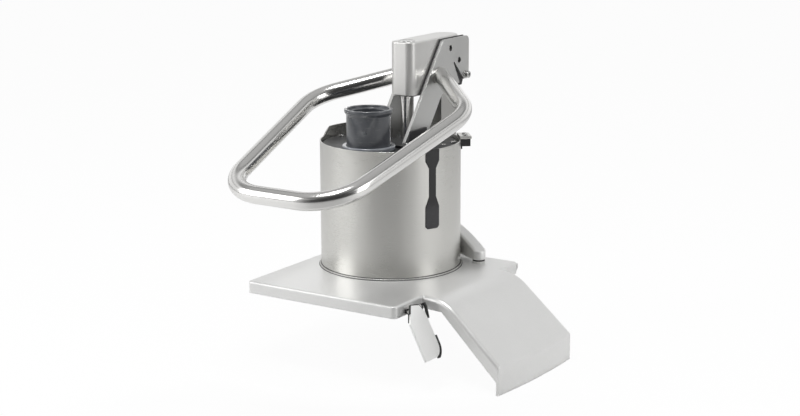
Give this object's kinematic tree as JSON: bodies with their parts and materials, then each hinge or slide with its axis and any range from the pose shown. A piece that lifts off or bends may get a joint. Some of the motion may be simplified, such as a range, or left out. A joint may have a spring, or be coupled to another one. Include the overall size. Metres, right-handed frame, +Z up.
{
  "type": "vegetable cutting machine feed head",
  "caption": "Feed head of a vegetable cutting machine: cast lid with discharge chute, round hopper, mast and a sliding pusher carriage with a loop handle and a plunger.",
  "frame": {"origin": "on the hopper's axis, in the plane of the skirt that stands on the motor base", "axes": "+X towards the discharge chute, -Y towards the operator and the handle's front bar, +Z up along the hopper's axis"},
  "size_m": [0.3635, 0.408, 0.3866],
  "materials": {
    "cast_lid": "satin, bead blasted",
    "cast_grey": "bead blasted casting",
    "satin_steel": "brushed",
    "polished_steel": "polished",
    "screw_steel": "turned",
    "grey_plastic": "turned, slightly glossy",
    "black_plastic": "matt",
    "white_plastic": "matt",
    "black_rubber": "matt"
  },
  "bodies": {
    "lid": {"lid_shell": "cast_lid", "lid_seal": "black_rubber", "hopper_tube": "satin_steel", "hopper_collar": "satin_steel", "wall_insert": "black_plastic", "catch_plate": "satin_steel", "catch_block": "black_plastic", "catch_screws": "screw_steel", "mast_bridge": "cast_grey", "foot_washers": "white_plastic", "foot_seals": "black_rubber", "bridge_bolts": "screw_steel", "mast_tube": "satin_steel", "mast_screws": "screw_steel", "mast_top_bush": "black_plastic", "mast_foot_plug": "black_plastic", "latch_bracket": "black_plastic", "latch_pin": "screw_steel"},
    "latch": {"latch_lever": "satin_steel", "latch_grip": "black_plastic", "latch_cap": "black_plastic"},
    "carriage": {"head_casting": "cast_grey", "guide_rod": "polished_steel", "rod_cap": "satin_steel", "inner_post": "satin_steel", "post_slider": "white_plastic", "side_plate_left": "satin_steel", "side_plate_right": "satin_steel", "side_liner_left": "black_plastic", "side_liner_right": "black_plastic", "plate_screws": "screw_steel", "tab_washers": "screw_steel", "tab_screws": "screw_steel", "handle_loop": "polished_steel", "pusher_body": "grey_plastic", "pusher_cover": "grey_plastic", "pusher_magnet": "polished_steel", "feed_tube": "grey_plastic", "feed_collar": "grey_plastic", "leg_bracket_left": "satin_steel", "leg_bracket_right": "satin_steel", "bracket_screws": "screw_steel", "cover_screws": "screw_steel"},
    "plunger": {"plunger": "grey_plastic"}
  },
  "joints": [
    {"name": "latch_hinge", "type": "hinge", "parent": "lid", "child": "latch", "pos_m": [0.1225, -0.1465, 0.005], "axis": [0, -1, 0], "range_deg": [0, 35]},
    {"name": "carriage_slide", "type": "slide", "parent": "lid", "child": "carriage", "axis": [0, 0, 1], "range_m": [0, 0.16]},
    {"name": "plunger_slide", "type": "slide", "parent": "carriage", "child": "plunger", "axis": [0, 0, 1], "range_m": [0, 0.15]}
  ]
}
